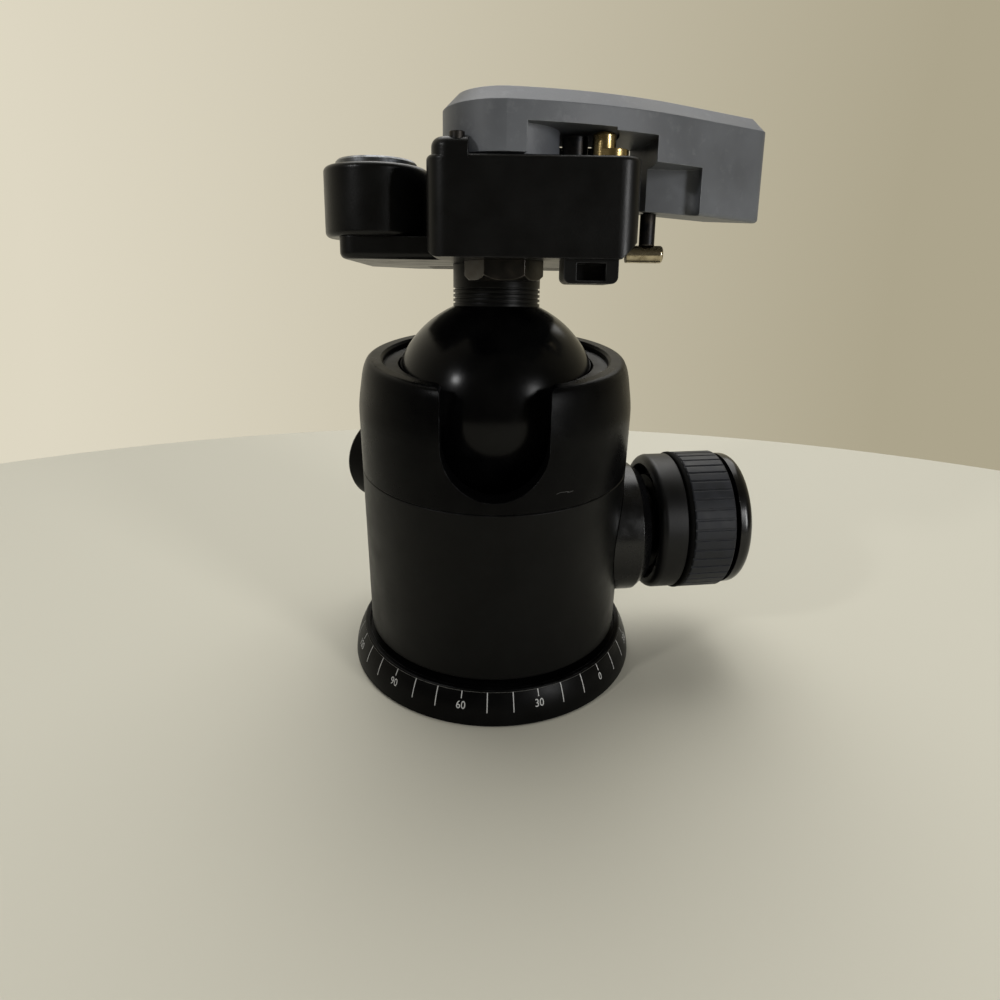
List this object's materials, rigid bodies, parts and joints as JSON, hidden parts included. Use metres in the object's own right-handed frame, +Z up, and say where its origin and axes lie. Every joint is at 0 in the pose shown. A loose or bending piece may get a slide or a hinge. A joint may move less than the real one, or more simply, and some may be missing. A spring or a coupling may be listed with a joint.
{
  "type": "tripod ball head",
  "caption": "Tripod ball head with a pan dial, a notched collar round a ball and stem, a locking knob, a pan lock and a lever clamp with a round level.",
  "frame": {"origin": "centre of the base's bottom face, on the pan axis", "axes": "+Z up along the pan axis; the drop slot opens towards -Y, the main locking knob points 7.4 degrees behind +X, and the head leans 10 degrees towards +Y"},
  "size_m": [0.0951, 0.0701, 0.1201],
  "materials": {
    "black_anodised": "satin black anodised aluminium",
    "grip_black": "matt black, finely ribbed",
    "gloss_black": "glossy black",
    "turned_aluminium": "turned",
    "bright_steel": "bright plated",
    "black_steel": "blackened steel",
    "polymer": "dull bearing plastic",
    "brass": "turned brass",
    "ball_black": "satin black anodised",
    "lever_grey": "dull grey paint on a casting, worn at the edges",
    "inlay_black": "plain gloss disc",
    "level_ring": "satin ring",
    "clear_plastic": "clear",
    "level_liquid": "yellow-green liquid",
    "bubble_air": "air bubble"
  },
  "bodies": {
    "base": {"base_plate": "turned_aluminium", "tripod_thread_bush": "bright_steel", "pan_dial_ring": "black_anodised", "dial_screws": "black_steel", "pan_washer": "polymer", "pan_retainer": "bright_steel", "retainer_screws": "black_steel"},
    "housing": {"housing_body": "black_anodised", "upper_collar": "black_anodised", "collar_grub_screws": "black_steel", "collar_liner": "polymer", "knob_boss": "black_anodised", "cup_wave_washer": "bright_steel"},
    "brake": {"pan_brake_pin": "brass"},
    "pan_knob": {"pan_knob_screw": "bright_steel", "pan_knob_head": "black_anodised", "pan_knob_inlay": "inlay_black"},
    "cup": {"lower_cup": "polymer"},
    "plunger": {"lock_plunger": "bright_steel"},
    "knob": {"knob_spindle": "bright_steel", "spindle_clip": "bright_steel", "knob_core": "black_anodised", "knob_ring": "grip_black", "knob_grip": "grip_black", "knob_cap": "gloss_black", "knob_screw": "black_steel"},
    "friction": {"friction_dial": "black_anodised"},
    "ball": {"ball": "ball_black"},
    "clamp": {"stem": "ball_black", "clamp_screw": "black_steel", "clamp_body": "black_anodised", "pivot_bolt": "black_steel", "pivot_nut": "black_steel", "pivot_washer": "polymer", "lever_spring": "black_steel", "lever_stop_post": "black_steel", "spring_anchor_pin": "black_steel", "trigger_block": "black_anodised", "trigger_spring": "black_steel", "level_boss": "black_anodised", "level_boss_screw": "bright_steel", "level_bezel": "level_ring", "level_lens": "clear_plastic", "level_fluid": "level_liquid", "level_bubble": "bubble_air"},
    "trigger": {"trigger_pin": "brass"},
    "lever": {"lever": "lever_grey"},
    "catch": {"catch_post": "bright_steel", "catch_pin": "bright_steel"}
  },
  "joints": [
    {"name": "pan", "type": "hinge", "parent": "base", "child": "housing", "pos_m": [0, 0, 0], "axis": [0, 0, 1], "continuous": true},
    {"name": "pan_lock", "type": "hinge", "parent": "housing", "child": "pan_knob", "pos_m": [0, 0, 0.037], "axis": [-0.7071, 0.7071, 0], "range_deg": [-90, 60]},
    {"name": "pan_brake", "type": "slide", "parent": "housing", "child": "brake", "axis": [0, 0, -1], "range_m": [-0.0002, 0.00025]},
    {"name": "ball_lock", "type": "hinge", "parent": "housing", "child": "knob", "pos_m": [0, 0, 0.0305], "axis": [0.9917, 0.1288, 0], "range_deg": [-150, 60]},
    {"name": "lock_feed", "type": "slide", "parent": "housing", "child": "plunger", "axis": [-0.9917, -0.1288, 0], "range_m": [-0.0002, 0.0005]},
    {"name": "cup_lift", "type": "slide", "parent": "housing", "child": "cup", "axis": [0, 0, 1], "range_m": [-0.0001, 0.0002]},
    {"name": "friction_set", "type": "hinge", "parent": "knob", "child": "friction", "pos_m": [0, 0, 0.0305], "axis": [0.9917, 0.1288, 0], "range_deg": [0, 270]},
    {"name": "ball_tilt", "type": "hinge", "parent": "housing", "child": "ball", "pos_m": [0, 0, 0.0608], "axis": [1, 0, 0], "range_deg": [-32, 80]},
    {"name": "ball_spin", "type": "hinge", "parent": "ball", "child": "clamp", "pos_m": [0, 0, 0.0608], "axis": [0, 0.1736, 0.9848], "range_deg": [-15, 15]},
    {"name": "lever_swing", "type": "hinge", "parent": "clamp", "child": "lever", "pos_m": [0.0013, -0.00916, 0.10791], "axis": [0, 0.1736, 0.9848], "range_deg": [-72, 0], "stiffness_Nm_per_rad": 0.03, "springref_deg": 28.65},
    {"name": "trigger_press", "type": "slide", "parent": "clamp", "child": "trigger", "axis": [0, -0.1736, -0.9848], "range_m": [0, 0.0025], "stiffness_N_per_m": 250, "springref_m": -0.001, "deforming": ["trigger_spring"]},
    {"name": "catch_turn", "type": "hinge", "parent": "lever", "child": "catch", "pos_m": [0.0292, -0.00236, 0.09351], "axis": [0, 0.1736, 0.9848], "range_deg": [0, 90]}
  ],
  "couplings": [
    {"joint": "lock_feed", "follows": "ball_lock", "m_per_rad": -0.00015915},
    {"joint": "cup_lift", "follows": "ball_lock", "m_per_rad": -0.00007},
    {"joint": "pan_brake", "follows": "pan_lock", "m_per_rad": -0.00015}
  ]
}
